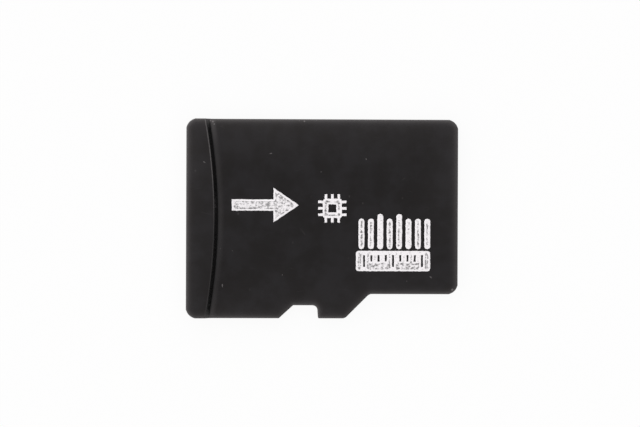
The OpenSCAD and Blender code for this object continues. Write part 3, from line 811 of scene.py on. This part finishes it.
def mould_body(sizes):
    """The moulded body with its rounded rim and the lip's curved step"""
    border = outer(borders("inner_mask", MOULD_FOOT))
    loop = dense(border, OUTLINE_SPACING)
    distances, heights = lip_profile(sizes)
    lip_centre = BACK_X + sizes.lip_width - sizes.lip_radius

    def past_lip(points):
        return np.hypot(points[:, 0] - lip_centre, points[:, 1]) - sizes.lip_radius

    def top(points):
        level = np.interp(past_lip(points), distances, heights)
        near = 1 - np.clip(depth(points, [border]) / sizes.rim_width, 0, 1)
        fall = sizes.rim_height * (1 - np.sqrt(1 - near ** 2))
        swell = waves(points, LONG_WAVE) * sizes.waviness
        swell = swell + waves(points, SHORT_WAVE, seed=5) * sizes.waviness * SHORT_WAVE_SHARE
        return level - fall + np.minimum(swell, 0)

    lines = [closed(loop)]
    for k in range(1, sizes.rim_steps + 1):
        reach = sizes.rim_width * (1 - math.cos(math.pi / 2 * k / sizes.rim_steps))
        lines += inset(loop, reach, [border])
    half_angle = math.asin(max(border[:, 1]) / sizes.lip_radius)
    angles = np.linspace(-half_angle, half_angle, STEP_LINE_POINTS)
    for distance in distances:
        radius = sizes.lip_radius + distance
        line = np.stack([lip_centre + radius * np.cos(angles), radius * np.sin(angles)], 1)
        lines.append(line[depth(line, [border]) > STEP_LINE_MARGIN])
    lines += grid([border], FIELD_SPACING, sizes.rim_width * FIELD_MARGIN)
    flat, triangles = plan_mesh(lines, [border])
    shell = solid("mould_shell", flat, triangles, top, level_side(MOULD_FOOT), WALL_ROWS)
    store_depth(shell, [border], MM)
    store(shell, "past_lip", past_lip(plan_of(shell)) / MM)
    return shell


# Printed marks

INK_EDGE_SPACING = 0.035 * MM
INK_FIELD_SPACING = 0.12 * MM
# Rows of points across the bead, as shares of its width
BEAD_ROWS = (0.25, 0.55, 1.0)
# The field's points keep clear of the bead, at this many times its width
BEAD_MARGIN = 1.4
# Shares of the ink's thickness: at the very edge, the rise to the field, and the bead's ridge
EDGE_SHARE = 0.3
RISE_SHARE = 0.45
RIDGE_SHARE = 0.25


def printed_mark(node, sizes):
    """One mark of ink: the frame's outline with a straying edge and a bead along it"""
    loops = []
    for number, border in enumerate(borders(node, INK_TOP)):
        loop = dense(border, INK_EDGE_SPACING)
        # Shorter strays, a third as long and half as far, ride on the long ones
        stray = waves(loop, sizes.wander_length, number)
        stray = stray + waves(loop, sizes.wander_length / 3, number) * 0.5
        loops.append(loop + outward(loop) * (stray * sizes.wander)[:, None])
    lines = [closed(loop) for loop in loops]
    for share in BEAD_ROWS:
        for loop in loops:
            lines += inset(loop, sizes.bead * share, loops)
    lines += grid(loops, INK_FIELD_SPACING, sizes.bead * BEAD_MARGIN)
    flat, triangles = plan_mesh(lines, loops)
    thickness = INK_TOP - PRINT_FACE

    def top(points):
        inward = np.clip(depth(points, loops) / sizes.bead, 0, 1)
        ridge = np.sin(np.pi * inward ** 0.6)
        return PRINT_FACE + thickness * (EDGE_SHARE + RISE_SHARE * np.sqrt(inward) + RIDGE_SHARE * ridge)

    mark = solid(node.replace("ink_", "printed_"), flat, triangles, top, level_side(PRINT_FACE))
    store_depth(mark, loops, sizes.bead)
    return mark


# Underside mask

# The mask swells over a track by a share of the copper's thickness, with slopes beside it
SWELL_SHARE = 0.25
SWELL_SLOPE = 0.05 * MM
MASK_EDGE_SPACING = 0.15 * MM
MASK_FIELD_SPACING = 0.5 * MM
TRACK_SPACING = 0.08 * MM
# The field's points and the lines round a track keep this far from the mask's borders
MASK_FIELD_MARGIN = 0.1 * MM
TRACK_MARGIN = 0.01 * MM


def under_mask():
    """The lower solder mask: windows round the contacts, and a swell under each copper track"""
    loops = borders("under_mask", 0.0)
    copper_low, copper_high = (corner.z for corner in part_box("under_tracks"))
    tracks = borders("under_tracks", copper_low)
    swell = (copper_high - copper_low) * SWELL_SHARE

    def low(points):
        return swell * np.clip(-depth(points, tracks) / SWELL_SLOPE, 0, 1)

    lines = [closed(dense(loop, MASK_EDGE_SPACING)) for loop in loops]
    for track in tracks:
        ring = dense(track, TRACK_SPACING)
        for share in (0.0, 0.5, 1.0):
            line = closed(ring + outward(ring) * SWELL_SLOPE * share)
            lines.append(line[depth(line, loops) > TRACK_MARGIN])
    lines += grid(loops, MASK_FIELD_SPACING, MASK_FIELD_MARGIN)
    flat, triangles = plan_mesh([line for line in lines if len(line)], loops)
    return solid("under_mask_sheet", flat, triangles, level_side(UNDER_MASK_TOP), low)


# Dust

DUST_PLACES_MM = [
    (-6.5, 3.09), (-2.85, 3.59), (-0.08, 2.59), (2.41, 3.31), (-4.95, -1.78),
    (-5.61, -1.66), (-5.5, -3.71), (4.67, -3.43), (6.0, -3.21), (-2.2, -3.1),
]
# Least and greatest radius of a flake in millimetres, and how far flakes are drawn out
DUST_RADII_MM = (0.018, 0.034)
DUST_STRETCHES = (1.0, 1.3, 3.2)
DUST_THICKNESS = 0.006 * MM
# Flakes lie this far above the face
DUST_LIFT = 0.001 * MM
# A flake this near to the back edge lies on the lip
LIP_REACH = 1.3 * MM
FLAKE_SIDES = 9
# A flake's corners lie at between these shares of its radius
FLAKE_RAGGEDNESS = (0.6, 1.2)


def dust():
    """Flat flakes of dust and one or two short fibres, where they lie on the print side"""
    chance = random.Random(SEED)
    corners, faces = [], []
    for x, y in DUST_PLACES_MM:
        size = chance.uniform(*DUST_RADII_MM) * MM
        stretch = chance.choice(DUST_STRETCHES)
        turn = chance.uniform(0, math.pi)
        level = (LIP_TOP if x * MM < BACK_X + LIP_REACH else PRINT_FACE) + DUST_LIFT
        first = len(corners)
        for height in (0.0, DUST_THICKNESS):
            for k in range(FLAKE_SIDES):
                angle = math.tau * k / FLAKE_SIDES
                reach = size * chance.uniform(*FLAKE_RAGGEDNESS)
                u, v = reach * stretch * math.cos(angle), reach * math.sin(angle)
                corners.append((
                    x * MM + u * math.cos(turn) - v * math.sin(turn),
                    y * MM + u * math.sin(turn) + v * math.cos(turn),
                    level + height,
                ))
        low = range(first, first + FLAKE_SIDES)
        high = range(first + FLAKE_SIDES, first + 2 * FLAKE_SIDES)
        faces += [tuple(reversed(low)), tuple(high)]
        for k in range(FLAKE_SIDES):
            after = (k + 1) % FLAKE_SIDES
            faces.append((low[k], low[after], high[after], high[k]))
    return new_piece("dust_flakes", corners, faces)


# Stage

# Share of the table's white, as seen, that doesn't depend on light or shadow
OWN_WHITE = 0.92


def table(sizes):
    """The white table, which shows a pale shadow"""
    half = sizes.table_side / 2
    corners = [(-half, -half, 0), (half, -half, 0), (half, half, 0), (-half, half, 0)]
    piece = new_piece("table", corners, [(0, 1, 2, 3)])
    made, look = material("table_white")
    path = look.node("ShaderNodeLightPath", output="Is Camera Ray")
    seen = path.most(look.output(path, "Is Glossy Ray")).most(look.output(path, "Is Transmission Ray"))
    paper = look.node("ShaderNodeBsdfDiffuse", values={"Color": (0.95, 0.95, 0.95, 1)})
    glow = look.node("ShaderNodeEmission", values={"Color": (1, 1, 1, 1), "Strength": 1.0})
    look.finish_with(look.node("ShaderNodeMixShader", values={0: seen * OWN_WHITE, 1: paper, 2: glow}))
    piece.data.materials.append(made)


def sky(sizes):
    """Soft light from all round, dimmer from straight above, and plain white behind the table"""
    world = bpy.data.worlds.new("soft_light")
    bpy.context.scene.world = world
    world.use_nodes = True
    look = Finish(world.node_tree)
    way = look.node("ShaderNodeTexCoord", output="Generated")
    up = look.node("ShaderNodeSeparateXYZ", values={0: way}, output="Z")
    across = look.output(up, "X")
    along = look.output(up, "Y")
    level = sizes.horizon + (sizes.zenith - sizes.horizon) * up.held()
    # The side past the contact edge is dim low down, which leaves the lip's face dark
    dim = look.ramp(across, 0.2, 0.75) * look.ramp(up, 0.4, 0.75, 1, 0)
    level = level * (1 + along * 0.16) * (1 - dim * 0.94)
    light = look.node("ShaderNodeBackground", values={"Color": (1, 0.985, 0.99, 1), "Strength": level})
    plain = look.node("ShaderNodeBackground", values={"Color": (1, 1, 1, 1), "Strength": 1.0})
    seen = look.node("ShaderNodeLightPath", output="Is Camera Ray")
    shown = look.node("ShaderNodeMixShader", values={0: seen, 1: light, 2: plain})
    look.finish_with(shown, "ShaderNodeOutputWorld")


def camera(sizes):
    """Camera over the card, leaning a little towards its back edge"""
    data = bpy.data.cameras.new("camera")
    data.sensor_width = 36
    data.lens = data.sensor_width * sizes.camera_distance / sizes.picture_scale
    data.clip_start = 0.001
    data.clip_end = 10
    piece = bpy.data.objects.new("camera", data)
    bpy.context.scene.collection.objects.link(piece)
    lean = sizes.camera_tilt
    aim = Vector((sizes.aim_x, sizes.aim_y, PRINT_FACE))
    away = Vector((-math.sin(lean), 0, math.cos(lean)))
    piece.location = aim + away * sizes.camera_distance
    right = Vector((0, 1, 0)).cross(away).normalized()
    facing = Matrix((right, away.cross(right), away)).transposed()
    piece.rotation_mode = "QUATERNION"
    piece.rotation_quaternion = (facing @ Matrix.Rotation(sizes.camera_roll, 3, "Z")).to_quaternion()
    bpy.context.scene.camera = piece


# Operators

class CARD_OT_mould(bpy.types.Operator):
    """Model the moulded body and give it its black satin finish"""

    bl_idname = "card.mould"
    bl_label = "Moulded body"
    bl_options = {"REGISTER", "UNDO"}

    def execute(self, context):
        scene = context.scene
        body = mould_body(scene.card_mould)
        seated(body, mould_finish(scene.card_colours), "moulding_compound", "mould_body")
        return {"FINISHED"}


class CARD_OT_print(bpy.types.Operator):
    """Print the four white marks on the top face"""

    bl_idname = "card.print"
    bl_label = "Printed marks"
    bl_options = {"REGISTER", "UNDO"}

    def execute(self, context):
        made = ink_finish(context.scene.card_colours)
        for node in PRINT_NODES:
            seated(printed_mark(node, context.scene.card_print), made, "ink", node)
        return {"FINISHED"}


class CARD_OT_dust(bpy.types.Operator):
    """Scatter the dust that lies on the card"""

    bl_idname = "card.dust"
    bl_label = "Dust"
    bl_options = {"REGISTER", "UNDO"}

    def execute(self, context):
        dark = shaded(context.scene.card_colours.dust, 0.35)
        seated(dust(), dull_finish("dust", dark, 0.8, 30, 0.002 * MM), "moulding_compound")
        return {"FINISHED"}


class CARD_OT_board(bpy.types.Operator):
    """Model the lower solder mask and finish the laminate board and both masks"""

    bl_idname = "card.board"
    bl_label = "Board"
    bl_options = {"REGISTER", "UNDO"}

    def execute(self, context):
        colours = context.scene.card_colours
        made = mask_finish(colours)
        seated(under_mask(), made, "solder_mask", "under_mask")
        dress(["inner_mask"], made)
        dress(["laminate_core"], laminate_finish(colours))
        return {"FINISHED"}


class CARD_OT_contacts(bpy.types.Operator):
    """Gild the eight contacts and the bond fingers"""

    bl_idname = "card.contacts"
    bl_label = "Contacts"
    bl_options = {"REGISTER", "UNDO"}

    def execute(self, context):
        colours = context.scene.card_colours
        dress(CONTACT_NODES, gold_finish(colours))
        dress(FINGER_NODES, gold_finish(colours, "bond_gilding", scratch=0.0))
        return {"FINISHED"}


class CARD_OT_tracks(bpy.types.Operator):
    """Finish the copper tracks and vias"""

    bl_idname = "card.tracks"
    bl_label = "Tracks"
    bl_options = {"REGISTER", "UNDO"}

    def execute(self, context):
        copper = context.scene.card_colours.copper
        dress(TRACK_NODES, metal_finish("copper", copper, 0.3, 22, 0.001 * MM))
        return {"FINISHED"}


class CARD_OT_dies(bpy.types.Operator):
    """Finish the two dies, their films and their bond wires"""

    bl_idname = "card.dies"
    bl_label = "Dies and wires"
    bl_options = {"REGISTER", "UNDO"}

    def execute(self, context):
        colours = context.scene.card_colours
        dress(DIE_NODES, silicon_finish(colours))
        dress(FILM_NODES, dull_finish("die_film", colours.film, 0.55, 12, 0.002 * MM))
        dress(WIRE_NODES, metal_finish("gold_wire", colours.gold, 0.18, 60, 0.0004 * MM))
        return {"FINISHED"}


class CARD_OT_chip_parts(bpy.types.Operator):
    """Finish the capacitors, the resistors and their solder"""

    bl_idname = "card.chip_parts"
    bl_label = "Chip parts"
    bl_options = {"REGISTER", "UNDO"}

    def execute(self, context):
        colours = context.scene.card_colours
        dress(CAPACITOR_NODES, dull_finish("capacitor_ceramic", colours.ceramic, 0.5, 18, 0.002 * MM))
        dress(RESISTOR_NODES, dull_finish("resistor_glaze", colours.glaze, 0.2, 9, 0.001 * MM))
        dress(CHIP_END_NODES, metal_finish("tin_plating", colours.tin, 0.36, 40, 0.001 * MM))
        dress(["solder_joints"], metal_finish("solder", colours.tin, 0.26, 14, 0.001 * MM))
        return {"FINISHED"}


class CARD_OT_stage(bpy.types.Operator):
    """Set the white table, the soft light and the camera"""

    bl_idname = "card.stage"
    bl_label = "Stage"
    bl_options = {"REGISTER", "UNDO"}

    def execute(self, context):
        sizes = context.scene.card_stage
        table(sizes)
        sky(sizes)
        camera(sizes)
        context.scene.view_settings.view_transform = "Standard"
        return {"FINISHED"}


OPERATORS = (
    CARD_OT_mould, CARD_OT_print, CARD_OT_dust, CARD_OT_board, CARD_OT_contacts,
    CARD_OT_tracks, CARD_OT_dies, CARD_OT_chip_parts, CARD_OT_stage,
)
SETTINGS = {
    "card_mould": MouldSizes,
    "card_print": PrintSizes,
    "card_colours": FinishColours,
    "card_stage": StageSizes,
}


class CARD_PT_panel(bpy.types.Panel):
    """Lists the operators and the sizes and colours that they use"""

    bl_label = "Memory card"
    bl_idname = "CARD_PT_panel"
    bl_space_type = "VIEW_3D"
    bl_region_type = "UI"
    bl_category = "Memory card"

    def draw(self, context):
        for operator in OPERATORS:
            self.layout.operator(operator.bl_idname)
        for name, group in SETTINGS.items():
            box = self.layout.box()
            box.label(text=group.__doc__)
            for key in group.__annotations__:
                box.prop(getattr(context.scene, name), key)


def register():
    """Registers the classes and adds the settings to the scene type"""
    for made in (*SETTINGS.values(), *OPERATORS, CARD_PT_panel):
        bpy.utils.register_class(made)
    for name, group in SETTINGS.items():
        setattr(bpy.types.Scene, name, PointerProperty(type=group))


def unregister():
    """Takes the settings and the classes away again"""
    for name in SETTINGS:
        delattr(bpy.types.Scene, name)
    for made in reversed((*SETTINGS.values(), *OPERATORS, CARD_PT_panel)):
        bpy.utils.unregister_class(made)


def main():
    """Registers the classes and runs the operators in order"""
    register()
    for operator in OPERATORS:
        group, name = operator.bl_idname.split(".")
        getattr(getattr(bpy.ops, group), name)()


if __name__ == "__main__":
    main()
